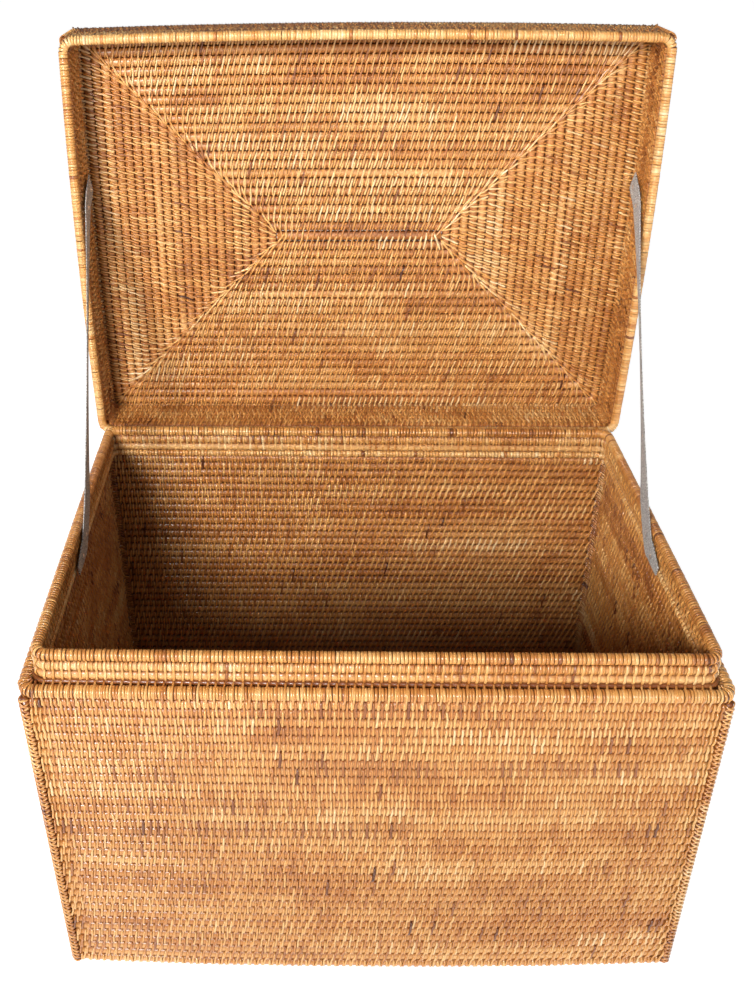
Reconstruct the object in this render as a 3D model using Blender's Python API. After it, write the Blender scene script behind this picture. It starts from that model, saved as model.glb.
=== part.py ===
"""Wicker storage trunk with a hinged lid, held open by two webbing straps.

Metres, +Z up, -Y is the front. The origin is the centre of the base's underside. The lid is
modelled shut and then turned open about the hinge axis, which is its rest pose.
"""
import math

import bmesh
import bpy
from mathutils import Matrix, Vector

# Driving dimensions.
TRUNK_WIDTH = 0.760          # outside of the shoulder rim, along X
TRUNK_DEPTH = 0.545          # outside of the shoulder rim, along Y
ROW_PITCH = 0.012            # height of one row of weave
WALL_ROWS = 36
WALL_THICKNESS = 0.011
WALL_INSET = 0.0025          # the walls stand this far inside the shoulder rim
SHOULDER_RADIUS = 0.0075
NECK_INSET = 0.0155          # from the shoulder rim's outside to the collar's outside
COLLAR_ROWS = 2
NECK_RIM_RADIUS = 0.0065
SEAM_ROD_RADIUS = 0.0045
LID_OVERHANG = 0.0005        # the lid rim stands this far outside the shoulder rim
LID_RIM_RADIUS = 0.006
LID_SKIRT_THICKNESS = 0.0105
LID_SKIRT_HEIGHT = 0.0684    # six rows of skirt
LID_TOP_THICKNESS = 0.011
LID_GAP = 0.0006             # between the shut lid's rim and the shoulder rim
OPEN_ANGLE = math.radians(91.5)
HINGE_X = 0.235
HINGE_WIDTH = 0.050
HINGE_LEAF_HEIGHT = 0.040
HINGE_LEAF_THICKNESS = 0.0018
KNUCKLE_RADIUS = 0.0045
PIN_RADIUS = 0.0020
STRAP_WIDTH = 0.032
STRAP_THICKNESS = 0.0016
GAP = 0.0003                 # between pieces that touch

# Worked out from the driving dimensions.
HALF_X = TRUNK_WIDTH / 2
HALF_Y = TRUNK_DEPTH / 2
WALL_OUT_X = HALF_X - WALL_INSET
WALL_OUT_Y = HALF_Y - WALL_INSET
WALL_IN_X = WALL_OUT_X - WALL_THICKNESS
WALL_IN_Y = WALL_OUT_Y - WALL_THICKNESS
WALL_TOP = WALL_ROWS * ROW_PITCH
SHOULDER_Z = WALL_TOP + GAP + SHOULDER_RADIUS
SHOULDER_TOP = SHOULDER_Z + SHOULDER_RADIUS
NECK_OUT_X = HALF_X - NECK_INSET
NECK_OUT_Y = HALF_Y - NECK_INSET
COLLAR_LOW = SHOULDER_TOP - 0.0005
COLLAR_TOP = COLLAR_LOW + COLLAR_ROWS * ROW_PITCH
NECK_RIM_Z = COLLAR_TOP + GAP + NECK_RIM_RADIUS
NECK_TOP = NECK_RIM_Z + NECK_RIM_RADIUS
SEAM_ROD_Z = COLLAR_LOW - GAP - SEAM_ROD_RADIUS
LID_HALF_X = HALF_X + LID_OVERHANG
LID_HALF_Y = HALF_Y + LID_OVERHANG
LID_LOW = SHOULDER_TOP + LID_GAP
LID_RIM_Z = LID_LOW + LID_RIM_RADIUS
SKIRT_LOW = LID_LOW + 2 * LID_RIM_RADIUS + GAP
SKIRT_TOP = SKIRT_LOW + LID_SKIRT_HEIGHT
SKIRT_OUT_X = LID_HALF_X - 0.0015
SKIRT_OUT_Y = LID_HALF_Y - 0.0015
SKIRT_IN_X = SKIRT_OUT_X - LID_SKIRT_THICKNESS
SKIRT_IN_Y = SKIRT_OUT_Y - LID_SKIRT_THICKNESS
LEAF_BACK_Y = LID_HALF_Y + GAP
LEAF_FRONT_Y = LEAF_BACK_Y + HINGE_LEAF_THICKNESS
AXIS = Vector((0, LEAF_FRONT_Y - 0.0006 + KNUCKLE_RADIUS, SHOULDER_TOP + 0.005))


def clear_scene():
    for thing in list(bpy.data.objects):
        bpy.data.objects.remove(thing, do_unlink=True)


def make_material(name, colour, roughness, metallic=0.0):
    material = bpy.data.materials.new(name)
    material.use_nodes = True
    shader = material.node_tree.nodes["Principled BSDF"]
    shader.inputs["Base Color"].default_value = (*colour, 1)
    shader.inputs["Roughness"].default_value = roughness
    shader.inputs["Metallic"].default_value = metallic
    return material


def add_piece(name, bm, material, pivot=None, smooth=True):
    """Turns bm into an object. On the pivot, its coordinates are those of the shut lid."""
    if pivot is not None:
        bmesh.ops.translate(bm, verts=bm.verts, vec=-AXIS)
    bmesh.ops.recalc_face_normals(bm, faces=bm.faces)
    mesh = bpy.data.meshes.new(name)
    bm.to_mesh(mesh)
    bm.free()
    mesh.materials.append(material)
    if smooth:
        mesh.shade_smooth()
        mesh.set_sharp_from_angle(angle=math.radians(35))
    piece = bpy.data.objects.new(name, mesh)
    bpy.context.collection.objects.link(piece)
    piece.parent = pivot
    return piece


def rounded_rectangle(half_x, half_y, radius, steps=5):
    """Corner points of a rounded rectangle, counter-clockwise."""
    points = []
    for quarter, (sx, sy) in enumerate(((1, 1), (-1, 1), (-1, -1), (1, -1))):
        for step in range(steps + 1):
            turn = math.pi / 2 * (quarter + step / steps)
            x = sx * (half_x - radius) + radius * math.cos(turn)
            y = sy * (half_y - radius) + radius * math.sin(turn)
            points.append((x, y))
    return points


def sweep_ring(half_x, half_y, radius, section):
    """A closed ring: each (out, z) of the section follows the rounded rectangle, offset outwards."""
    bm = bmesh.new()
    loops = []
    for out, z in section:
        outline = rounded_rectangle(half_x + out, half_y + out, radius + out)
        loops.append([bm.verts.new((x, y, z)) for x, y in outline])
    count = len(loops[0])
    for index, loop in enumerate(loops):
        above = loops[(index + 1) % len(loops)]
        for i in range(count):
            j = (i + 1) % count
            bm.faces.new((loop[i], loop[j], above[j], above[i]))
    return bm


def round_section(radius, z, sides=10):
    turns = [2 * math.pi * i / sides for i in range(sides)]
    return [(radius * math.cos(turn), z + radius * math.sin(turn)) for turn in turns]


def chamfered_section(half_thickness, low, high, chamfer=0.002):
    t = half_thickness
    c = chamfer
    return [(t, low + c), (t, high - c), (t - c, high), (c - t, high),
            (-t, high - c), (-t, low + c), (c - t, low), (t - c, low)]


def box_mesh(low, high):
    bm = bmesh.new()
    bmesh.ops.create_cube(bm, size=1)
    size = [b - a for a, b in zip(low, high)]
    middle = [(a + b) / 2 for a, b in zip(low, high)]
    bmesh.ops.scale(bm, verts=bm.verts, vec=size)
    bmesh.ops.translate(bm, verts=bm.verts, vec=middle)
    return bm


def add_panel(name, low, high, material, pivot=None, bevel=0.002):
    """A flat panel of weave, with its long edges eased."""
    piece = add_piece(name, box_mesh(low, high), material, pivot)
    edge = piece.modifiers.new("eased_edges", "BEVEL")
    edge.width = bevel
    edge.segments = 2
    return piece


def add_corner(name, corner, inner, low, high, material, pivot=None):
    """A post between two panels: square on its two inner faces, round on the outer corner."""
    bm = bmesh.new()
    sx = math.copysign(1, corner[0])
    sy = math.copysign(1, corner[1])
    width = abs(corner[0]) - inner[0] - GAP
    depth = abs(corner[1]) - inner[1] - GAP
    outline = [(inner[0] + GAP, inner[1] + GAP)]
    steps = 6
    for step in range(steps + 1):
        turn = math.pi / 2 * step / steps
        outline.append((inner[0] + GAP + width * math.cos(turn) ** 0.6,
                        inner[1] + GAP + depth * math.sin(turn) ** 0.6))
    verts = [bm.verts.new((sx * x, sy * y, low)) for x, y in outline]
    face = bm.faces.new(verts)
    top = bmesh.ops.extrude_face_region(bm, geom=[face])["geom"]
    moved = [item for item in top if isinstance(item, bmesh.types.BMVert)]
    bmesh.ops.translate(bm, verts=moved, vec=(0, 0, high - low))
    return add_piece(name, bm, material, pivot)


def cylinder_mesh(start, end, radius, sides=20):
    bm = bmesh.new()
    start = Vector(start)
    end = Vector(end)
    along = end - start
    turn = Vector((0, 0, 1)).rotation_difference(along).to_matrix().to_4x4()
    place = Matrix.Translation((start + end) / 2) @ turn
    bmesh.ops.create_cone(bm, cap_ends=True, segments=sides, radius1=radius, radius2=radius,
                          depth=along.length, matrix=place)
    return bm


def combine(target, other, operation):
    """Adds a Boolean with the object other, which stays out of the model."""
    other.hide_render = True
    other.display_type = "WIRE"
    change = target.modifiers.new(operation.lower(), "BOOLEAN")
    change.operation = operation
    change.solver = "EXACT"
    change.object = other


def drill(target, start, end, radius, material, pivot=None):
    cutter = add_piece("drill_" + target.name, cylinder_mesh(start, end, radius), material, pivot)
    combine(target, cutter, "DIFFERENCE")


def add_screw(name, seat, inwards, length, material, pivot=None):
    """A dome-headed screw whose head sits on seat and whose shank runs along inwards."""
    head_radius = 0.0030
    head_height = 0.0011
    shank_radius = 0.0012
    profile = [(0, -head_height), (head_radius * 0.45, -head_height * 0.9),
               (head_radius * 0.8, -head_height * 0.55), (head_radius, 0), (shank_radius, 0),
               (shank_radius, length - 0.002), (0, length)]
    bm = bmesh.new()
    verts = [bm.verts.new((radius, 0, depth)) for radius, depth in profile]
    edges = [bm.edges.new(pair) for pair in zip(verts, verts[1:])]
    bmesh.ops.spin(bm, geom=verts + edges, cent=(0, 0, 0), axis=(0, 0, 1), angle=2 * math.pi,
                   steps=16, use_merge=True)
    bmesh.ops.remove_doubles(bm, verts=bm.verts, dist=1e-6)
    turn = Vector((0, 0, 1)).rotation_difference(Vector(inwards)).to_matrix().to_4x4()
    clear = Vector(seat) - GAP * Vector(inwards)
    bmesh.ops.transform(bm, matrix=Matrix.Translation(clear) @ turn, verts=bm.verts)
    return add_piece(name, bm, material, pivot)


def smooth_route(points, count):
    """A Catmull-Rom curve through the points, at count places."""
    padded = [2 * points[0] - points[1]] + points + [2 * points[-1] - points[-2]]
    route = []
    for i in range(count):
        place = i / (count - 1) * (len(points) - 1)
        k = min(int(place), len(points) - 2)
        t = place - k
        a, b, c, d = padded[k:k + 4]
        route.append(0.5 * (2 * b + (c - a) * t + (2 * a - 5 * b + 4 * c - d) * t * t
                            + (3 * b - 3 * c + d - a) * t ** 3))
    return route


def ribbon_mesh(route, width, thickness):
    """A flat strap along the route, its flat face towards X."""
    bm = bmesh.new()
    rings = []
    for i, point in enumerate(route):
        ahead = route[min(i + 1, len(route) - 1)]
        behind = route[max(i - 1, 0)]
        along = (ahead - behind).normalized()
        side = along.cross(Vector((1, 0, 0))).normalized()
        out = side.cross(along).normalized()
        corners = ((1, 1), (-1, 1), (-1, -1), (1, -1))
        rings.append([bm.verts.new(point + side * a * width / 2 + out * b * thickness / 2)
                      for a, b in corners])
    for first, second in zip(rings, rings[1:]):
        for i in range(4):
            j = (i + 1) % 4
            bm.faces.new((first[i], first[j], second[j], second[i]))
    bm.faces.new(rings[0])
    bm.faces.new(list(reversed(rings[-1])))
    return bm


def build_trunk(weave, peel):
    floor_x = WALL_IN_X - GAP
    floor_y = WALL_IN_Y - GAP
    add_panel("base_panel", (-floor_x, -floor_y, 0), (floor_x, floor_y, WALL_THICKNESS), weave,
              bevel=0.001)
    add_panel("front_wall", (-WALL_IN_X, -WALL_OUT_Y, 0), (WALL_IN_X, -WALL_IN_Y, WALL_TOP), weave)
    add_panel("back_wall", (-WALL_IN_X, WALL_IN_Y, 0), (WALL_IN_X, WALL_OUT_Y, WALL_TOP), weave)
    side_y = WALL_IN_Y - GAP
    add_panel("left_wall", (-WALL_OUT_X, -side_y, 0), (-WALL_IN_X, side_y, WALL_TOP), weave)
    add_panel("right_wall", (WALL_IN_X, -side_y, 0), (WALL_OUT_X, side_y, WALL_TOP), weave)
    for end, sy in (("front", -1), ("back", 1)):
        for side, sx in (("left", -1), ("right", 1)):
            add_corner(f"corner_binding_{end}_{side}", (sx * WALL_OUT_X, sy * WALL_OUT_Y),
                       (WALL_IN_X, WALL_IN_Y), 0, WALL_TOP, peel)
    add_piece("shoulder_rim", sweep_ring(HALF_X - SHOULDER_RADIUS, HALF_Y - SHOULDER_RADIUS, 0.012,
                                         round_section(SHOULDER_RADIUS, SHOULDER_Z)), peel)
    collar_x = NECK_OUT_X - WALL_THICKNESS / 2
    collar_y = NECK_OUT_Y - WALL_THICKNESS / 2
    collar = add_piece("neck_collar", sweep_ring(collar_x, collar_y, 0.014, chamfered_section(
        WALL_THICKNESS / 2, COLLAR_LOW, COLLAR_TOP)), weave)
    rim_x = NECK_OUT_X - NECK_RIM_RADIUS
    rim_y = NECK_OUT_Y - NECK_RIM_RADIUS
    add_piece("neck_rim", sweep_ring(rim_x, rim_y, 0.014,
                                     round_section(NECK_RIM_RADIUS, NECK_RIM_Z)), peel)
    add_piece("inner_seam_rod", sweep_ring(collar_x, collar_y, 0.012,
                                           round_section(SEAM_ROD_RADIUS, SEAM_ROD_Z, 8)), peel)
    return collar


def build_lid(weave, peel, pivot):
    add_panel("lid_top_panel", (-SKIRT_OUT_X, -SKIRT_OUT_Y, SKIRT_TOP + GAP),
              (SKIRT_OUT_X, SKIRT_OUT_Y, SKIRT_TOP + GAP + LID_TOP_THICKNESS), weave, pivot, 0.004)
    skirt_x = SKIRT_IN_X
    skirt_y = SKIRT_IN_Y - GAP
    add_panel("lid_front_skirt", (-skirt_x, -SKIRT_OUT_Y, SKIRT_LOW),
              (skirt_x, -SKIRT_IN_Y, SKIRT_TOP), weave, pivot)
    add_panel("lid_back_skirt", (-skirt_x, SKIRT_IN_Y, SKIRT_LOW),
              (skirt_x, SKIRT_OUT_Y, SKIRT_TOP), weave, pivot)
    left = add_panel("lid_left_skirt", (-SKIRT_OUT_X, -skirt_y, SKIRT_LOW),
                     (-SKIRT_IN_X, skirt_y, SKIRT_TOP), weave, pivot)
    right = add_panel("lid_right_skirt", (SKIRT_IN_X, -skirt_y, SKIRT_LOW),
                      (SKIRT_OUT_X, skirt_y, SKIRT_TOP), weave, pivot)
    for end, sy in (("front", -1), ("back", 1)):
        for side, sx in (("left", -1), ("right", 1)):
            add_corner(f"lid_corner_binding_{end}_{side}", (sx * SKIRT_OUT_X, sy * SKIRT_OUT_Y),
                       (SKIRT_IN_X, SKIRT_IN_Y), SKIRT_LOW, SKIRT_TOP, peel, pivot)
    add_piece("lid_rim", sweep_ring(LID_HALF_X - LID_RIM_RADIUS, LID_HALF_Y - LID_RIM_RADIUS, 0.014,
                                    round_section(LID_RIM_RADIUS, LID_RIM_Z)), peel, pivot)
    return {-1: left, 1: right}


def knuckle_span(name):
    """Start and end of a leaf's knuckles along X, from the hinge's middle."""
    third = HINGE_WIDTH / 6
    if name == "lid":
        return [(-third + GAP, third - GAP)]
    return [(-HINGE_WIDTH / 2, -third), (third, HINGE_WIDTH / 2)]


def add_leaf(name, owner, x, steel, pivot=None):
    """A hinge leaf: a plate whose edge carries the knuckles that the pin runs through."""
    up = 1 if owner == "lid" else -1
    edge = AXIS.z + up * (KNUCKLE_RADIUS + 0.0006)
    far = edge + up * HINGE_LEAF_HEIGHT
    half = HINGE_WIDTH / 2
    leaf = add_piece(name, box_mesh((x - half, LEAF_BACK_Y, min(edge, far)),
                                    (x + half, LEAF_FRONT_Y, max(edge, far))), steel, pivot)
    for a, b in knuckle_span(owner):
        web = box_mesh((x + a, LEAF_BACK_Y, min(AXIS.z, edge + up * 0.001)),
                       (x + b, LEAF_FRONT_Y, max(AXIS.z, edge + up * 0.001)))
        combine(leaf, add_piece("web_" + name, web, steel, pivot), "UNION")
        knuckle = cylinder_mesh((x + a, AXIS.y, AXIS.z), (x + b, AXIS.y, AXIS.z), KNUCKLE_RADIUS)
        combine(leaf, add_piece("knuckle_" + name, knuckle, steel, pivot), "UNION")
    drill(leaf, (x - half - 0.01, AXIS.y, AXIS.z), (x + half + 0.01, AXIS.y, AXIS.z),
          PIN_RADIUS + GAP, steel, pivot)
    return leaf, (edge + far) / 2


def build_hinge(side, x, steel, pivot, panels):
    """One butt hinge with its pin and its screws, on the outside of the back."""
    for owner, parent in (("trunk", None), ("lid", pivot)):
        leaf, middle = add_leaf(f"hinge_{side}_{owner}_leaf", owner, x, steel, parent)
        for end, offset in (("a", -0.016), ("b", 0.016)):
            seat = Vector((x + offset, LEAF_FRONT_Y, middle))
            inside = seat - Vector((0, 0.011, 0))
            drill(leaf, seat + Vector((0, 0.002, 0)), inside, 0.0016, steel, parent)
            drill(panels[owner], seat, inside, 0.0016, steel, parent)
            add_screw(f"hinge_{side}_{owner}_screw_{end}", seat, (0, -1, 0), 0.009, steel, parent)
    pin = cylinder_mesh((x - HINGE_WIDTH / 2, AXIS.y, AXIS.z),
                        (x + HINGE_WIDTH / 2, AXIS.y, AXIS.z), PIN_RADIUS, 16)
    add_piece(f"hinge_{side}_pin", pin, steel)


def opened(point):
    """Where a point of the shut lid lies when the lid is open."""
    turn = Matrix.Rotation(-OPEN_ANGLE, 4, "X")
    return AXIS + turn @ (Vector(point) - AXIS)


def build_strap(side, sx, webbing, bright, pivot, collar, skirt):
    """A strap from the collar's inner face up to the lid's side skirt, two screws at each end."""
    low_x = sx * (NECK_OUT_X - 2 * NECK_RIM_RADIUS - GAP - STRAP_THICKNESS / 2)
    high_x = sx * (SKIRT_IN_X - GAP - STRAP_THICKNESS / 2)
    low_screws = [Vector((low_x, 0.000, COLLAR_LOW + 0.019)),
                  Vector((low_x, -0.028, COLLAR_LOW + 0.005))]
    low_tip = Vector((low_x, -0.052, COLLAR_LOW - 0.006))
    lid_screws = [Vector((high_x, HALF_Y - 0.329, LID_LOW + 0.026)),
                  Vector((high_x, HALF_Y - 0.347, LID_LOW + 0.052))]
    lid_tip = Vector((high_x, HALF_Y - 0.354, LID_LOW + 0.062))
    first = low_screws[0]
    last = opened(lid_screws[0])
    middle = [first.lerp(last, step / 4) for step in (1, 2, 3)]
    points = [low_tip, low_screws[1], first] + middle + [last, opened(lid_screws[1]), opened(lid_tip)]
    route = smooth_route(points, 41)
    clear_z = NECK_TOP + STRAP_WIDTH / 2
    for point in route:
        rise = min(max((point.z - clear_z) / (last.z - clear_z), 0), 1)
        point.x = low_x + (high_x - low_x) * rise
    strap = add_piece(f"strap_{side}", ribbon_mesh(route, STRAP_WIDTH, STRAP_THICKNESS), webbing)
    face = STRAP_THICKNESS / 2
    for end, seat in zip("ab", low_screws):
        start = seat - Vector((sx * 0.004, 0, 0))
        stop = seat + Vector((sx * 0.012, 0, 0))
        drill(strap, start, stop, 0.0016, bright)
        drill(collar, start, stop, 0.0016, bright)
        add_screw(f"strap_{side}_lower_screw_{end}", seat - Vector((sx * face, 0, 0)),
                  (sx, 0, 0), 0.009, bright)
    for end, seat in zip("ab", lid_screws):
        start = seat - Vector((sx * 0.004, 0, 0))
        stop = seat + Vector((sx * 0.010, 0, 0))
        drill(strap, opened(start), opened(stop), 0.0016, bright)
        drill(skirt, start, stop, 0.0016, bright, pivot)
        add_screw(f"strap_{side}_upper_screw_{end}", seat - Vector((sx * face, 0, 0)),
                  (sx, 0, 0), 0.0075, bright, pivot)


def main():
    clear_scene()
    weave = make_material("rattan_weave", (0.55, 0.31, 0.12), 0.5)
    peel = make_material("rattan_peel", (0.68, 0.43, 0.19), 0.42)
    webbing = make_material("grey_webbing", (0.36, 0.34, 0.33), 0.85)
    steel = make_material("zinc_steel", (0.62, 0.61, 0.58), 0.35, 1.0)
    bright = make_material("bright_screw", (0.80, 0.78, 0.74), 0.25, 1.0)

    pivot = bpy.data.objects.new("lid_pivot", None)
    bpy.context.collection.objects.link(pivot)
    pivot.location = AXIS
    pivot.rotation_euler = (-OPEN_ANGLE, 0, 0)

    collar = build_trunk(weave, peel)
    skirts = build_lid(weave, peel, pivot)
    panels = {"trunk": bpy.data.objects["back_wall"], "lid": bpy.data.objects["lid_back_skirt"]}
    for side, sx in (("left", -1), ("right", 1)):
        build_hinge(side, sx * HINGE_X, steel, pivot, panels)
        build_strap(side, sx, webbing, bright, pivot, collar, skirts[sx])


main()
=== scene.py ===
import math

import bpy
import numpy as np
from mathutils import Matrix, Vector


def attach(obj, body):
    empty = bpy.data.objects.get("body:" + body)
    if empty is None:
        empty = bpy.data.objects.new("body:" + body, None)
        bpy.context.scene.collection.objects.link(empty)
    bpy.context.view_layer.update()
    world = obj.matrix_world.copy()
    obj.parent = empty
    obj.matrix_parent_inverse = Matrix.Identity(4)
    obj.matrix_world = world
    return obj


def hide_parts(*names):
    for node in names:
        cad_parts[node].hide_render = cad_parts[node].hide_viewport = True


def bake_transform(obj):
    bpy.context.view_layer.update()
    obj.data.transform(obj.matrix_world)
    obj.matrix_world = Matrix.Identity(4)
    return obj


# Wicker storage trunk. Every rod, every stitch of split peel and every turn of winding is its own
# small closed piece of mesh. Woven lid pieces are laid out on the shut lid and then turned open,
# as in the CAD source.
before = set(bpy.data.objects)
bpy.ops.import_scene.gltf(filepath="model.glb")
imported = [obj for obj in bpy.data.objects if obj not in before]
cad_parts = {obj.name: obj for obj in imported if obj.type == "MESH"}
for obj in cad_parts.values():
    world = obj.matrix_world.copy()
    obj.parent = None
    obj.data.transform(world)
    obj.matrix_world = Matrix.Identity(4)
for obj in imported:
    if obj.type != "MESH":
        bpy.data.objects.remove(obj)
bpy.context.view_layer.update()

# Driving sizes of the CAD source, in metres.
HALF_X = 0.380               # half of the shoulder rim's outside
HALF_Y = 0.2725
PITCH = 0.012                # height of one row of weave
WALL_ROWS = 36
WALL_THICKNESS = 0.011
WALL_INSET = 0.0025          # the walls stand this far inside the shoulder rim
SHOULDER_RADIUS = 0.0075
NECK_INSET = 0.0155          # from the shoulder rim's outside to the collar's outside
NECK_RIM_RADIUS = 0.0065
SEAM_ROD_RADIUS = 0.0045
LID_OVERHANG = 0.0005        # the lid rim stands this far outside the shoulder rim
LID_RIM_RADIUS = 0.006
LID_GAP = 0.0006             # between the shut lid's rim and the shoulder rim
SKIRT_INSET = 0.0015         # the skirts stand this far inside the lid rim
SKIRT_PITCH = 0.0114
SKIRT_ROWS = 6
SKIRT_THICKNESS = 0.0105
GAP = 0.0003                 # between pieces that touch
OPEN_ANGLE = math.radians(91.5)
AXIS = np.array((0, 0.2790, 0.4523))     # of the hinge pins

# Places worked out from them.
WALL_OUT_X = HALF_X - WALL_INSET
WALL_OUT_Y = HALF_Y - WALL_INSET
WALL_IN_X = WALL_OUT_X - WALL_THICKNESS
WALL_IN_Y = WALL_OUT_Y - WALL_THICKNESS
WALL_TOP = WALL_ROWS * PITCH
SHOULDER_Z = WALL_TOP + GAP + SHOULDER_RADIUS
SHOULDER_TOP = SHOULDER_Z + SHOULDER_RADIUS
COLLAR_LOW = SHOULDER_TOP - 0.0005
NECK_RIM_Z = COLLAR_LOW + 2 * PITCH + GAP + NECK_RIM_RADIUS
NECK_TOP = NECK_RIM_Z + NECK_RIM_RADIUS
SEAM_ROD_Z = COLLAR_LOW - GAP - SEAM_ROD_RADIUS
LID_HALF_X = HALF_X + LID_OVERHANG
LID_HALF_Y = HALF_Y + LID_OVERHANG
LID_LOW = SHOULDER_TOP + LID_GAP
LID_RIM_Z = LID_LOW + LID_RIM_RADIUS
SKIRT_LOW = LID_LOW + 2 * LID_RIM_RADIUS + GAP
SKIRT_TOP = SKIRT_LOW + SKIRT_ROWS * SKIRT_PITCH
SKIRT_OUT_X = LID_HALF_X - SKIRT_INSET
SKIRT_OUT_Y = LID_HALF_Y - SKIRT_INSET
SKIRT_IN_X = SKIRT_OUT_X - SKIRT_THICKNESS
SKIRT_IN_Y = SKIRT_OUT_Y - SKIRT_THICKNESS
LID_TOP_MIDDLE = SKIRT_TOP + GAP + WALL_THICKNESS / 2

# How far the hand-made trunk is out of true, in metres.
BELLY_TOP = 0.46             # the walls' extra belly fades out at this height
FRONT_BELLY = 0.0015         # at the top, and FRONT_BELLY_LOW more at the foot
FRONT_BELLY_LOW = 0.0075
SIDE_BELLY = 0.0005
SIDE_BELLY_LOW = 0.0025
FOOT_SHIFT = 0.0060          # the foot stands this far to the right
FOOT_TAPER = 0.010           # and is narrower by this share of the width
LID_FRONT_BOW = 0.0060
LID_SIDE_BOW = 0.0045
OUT_OF_LEVEL = 0.0030        # the top edges run down by this to the right
LEVEL_TOP = 0.44             # the full drop is reached at this height
ROW_WANDER = 0.0007          # rows of weave wander up and down by this

# Distances between stitches along a row.
STITCH = 0.0091
INSIDE_STITCH = 0.0088
LID_STITCH = 0.0078

X = np.array((1.0, 0, 0))
Y = np.array((0, 1.0, 0))
Z = np.array((0, 0, 1.0))


# ---------------------------------------------------------------- shaping

def clamp(value, low=0.0, high=1.0):
    return np.minimum(np.maximum(value, low), high)


def bulge(place, half):
    """1 in the middle of a side and 0 at its corners."""
    return 1 - clamp(place / half, -1, 1) ** 2


def bow_trunk(points):
    """The hand-made walls belly out a little between their corners, mostly low down."""
    x, y, z = points[..., 0], points[..., 1], points[..., 2]
    low = clamp(1 - z / BELLY_TOP)
    out_y = (FRONT_BELLY + FRONT_BELLY_LOW * low) * bulge(x, HALF_X)
    out_x = (SIDE_BELLY + SIDE_BELLY_LOW * low) * bulge(y, HALF_Y)
    moved = points.copy()
    moved[..., 1] -= out_y * clamp(-y / HALF_Y)
    moved[..., 0] += out_x * clamp(x / HALF_X, -1, 1)
    moved[..., 0] += (FOOT_SHIFT - FOOT_TAPER * x) * low
    moved[..., 2] -= OUT_OF_LEVEL * x / HALF_X * clamp(z / LEVEL_TOP)
    return moved


def turn_open(points):
    """Where a point of the shut lid lies when the lid is open."""
    c, s = math.cos(-OPEN_ANGLE), math.sin(-OPEN_ANGLE)
    turn = np.array(((1, 0, 0), (0, c, -s), (0, s, c)))
    return (points - AXIS) @ turn.T + AXIS


def bow_lid(points):
    """The lid's front and sides bow outwards; its back stays straight for the hinges."""
    x, y = points[..., 0], points[..., 1]
    moved = points.copy()
    moved[..., 1] -= LID_FRONT_BOW * bulge(x, HALF_X) * clamp(-y / HALF_Y)
    moved[..., 0] += LID_SIDE_BOW * bulge(y, HALF_Y) * clamp(x / HALF_X, -1, 1)
    moved[..., 2] -= OUT_OF_LEVEL * moved[..., 0] / HALF_X
    return turn_open(moved)


def drift(u, v, seed):
    """A slow, smooth wander between -1 and 1 over a panel, the same from both faces."""
    waves = ((23, 31, 1.7), (51, -17, 2.9), (11, 71, 0.7))      # along u, along v, by seed
    return sum(np.sin(np.abs(u) * a + v * b + seed * c) for a, b, c in waves) / len(waves)


class Panel:
    """A flat place to weave on: u along the rows, v across them, n out of the face."""

    def __init__(self, origin, u, v, warp, seed=0.0, wander=ROW_WANDER):
        self.origin = np.array(origin, float)
        self.u, self.v = u, v
        self.n = np.cross(u, v)
        self.warp = warp
        self.seed = seed
        self.wander = wander

    def place(self, u, v, n):
        """A point of the panel, before the warp."""
        v = v + self.wander * drift(u, v, self.seed)
        u, v, n = np.broadcast_arrays(u, v, n)
        return self.origin + u[..., None] * self.u + v[..., None] * self.v + n[..., None] * self.n

    def back(self):
        """The same panel seen from its other face."""
        return Panel(self.origin, -self.u, self.v, self.warp, self.seed, self.wander)


class Ring:
    """A rounded rectangle measured along its length, counter-clockwise seen from above."""

    CORNER_STEPS = 12
    CORNER_MARKS = CORNER_STEPS + 1

    def __init__(self, half_x, half_y, radius):
        turns, xs, ys = [], [], []
        for quarter, (sx, sy) in enumerate(((1, 1), (-1, 1), (-1, -1), (1, -1))):
            for step in range(self.CORNER_MARKS):
                turn = math.pi / 2 * (quarter + step / self.CORNER_STEPS)
                turns.append(turn)
                xs.append(sx * (half_x - radius) + radius * math.cos(turn))
                ys.append(sy * (half_y - radius) + radius * math.sin(turn))
        self.turns = np.array(turns + [2 * math.pi])
        self.xs = np.array(xs + xs[:1])
        self.ys = np.array(ys + ys[:1])
        steps = np.hypot(np.diff(self.xs), np.diff(self.ys))
        self.marks = np.concatenate(([0], np.cumsum(steps)))
        self.length = self.marks[-1]
        half = self.CORNER_STEPS // 2
        self.corners = [self.marks[half + self.CORNER_MARKS * i] for i in range(4)]
        self.right_side = self.marks[-2]         # where the straight part of the right side starts

    def inner_marks(self, straight_steps=16):
        """Lengths to build a plain rod from: two for each mark of a corner, more along a side."""
        spans = []
        for i in range(len(self.marks) - 1):
            steps = 2 if (i + 1) % self.CORNER_MARKS else straight_steps
            spans.append(np.linspace(self.marks[i], self.marks[i + 1], steps, endpoint=False))
        return np.concatenate(spans)

    def at(self, s):
        """Position, outward and forward directions at the lengths s."""
        s = np.mod(s, self.length)
        x = np.interp(s, self.marks, self.xs)
        y = np.interp(s, self.marks, self.ys)
        turn = np.interp(s, self.marks, self.turns)
        zero = np.zeros_like(x)
        place = np.stack((x, y, zero), -1)
        out = np.stack((np.cos(turn), np.sin(turn), zero), -1)
        ahead = np.stack((-np.sin(turn), np.cos(turn), zero), -1)
        return place, out, ahead


# ---------------------------------------------------------------- mesh gathering

# The section of a strip of peel, as (share of its width, share of its thickness).
BAND = np.array(((-0.5, 0.0), (-0.30, 1.0), (0.30, 1.0), (0.5, 0.0)))
TINY = 1e-12
NUDGE = 1e-4                 # how far a direction is followed to see where the warp turns it


def unit(vectors):
    return vectors / np.maximum(np.linalg.norm(vectors, axis=-1, keepdims=True), TINY)


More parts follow.
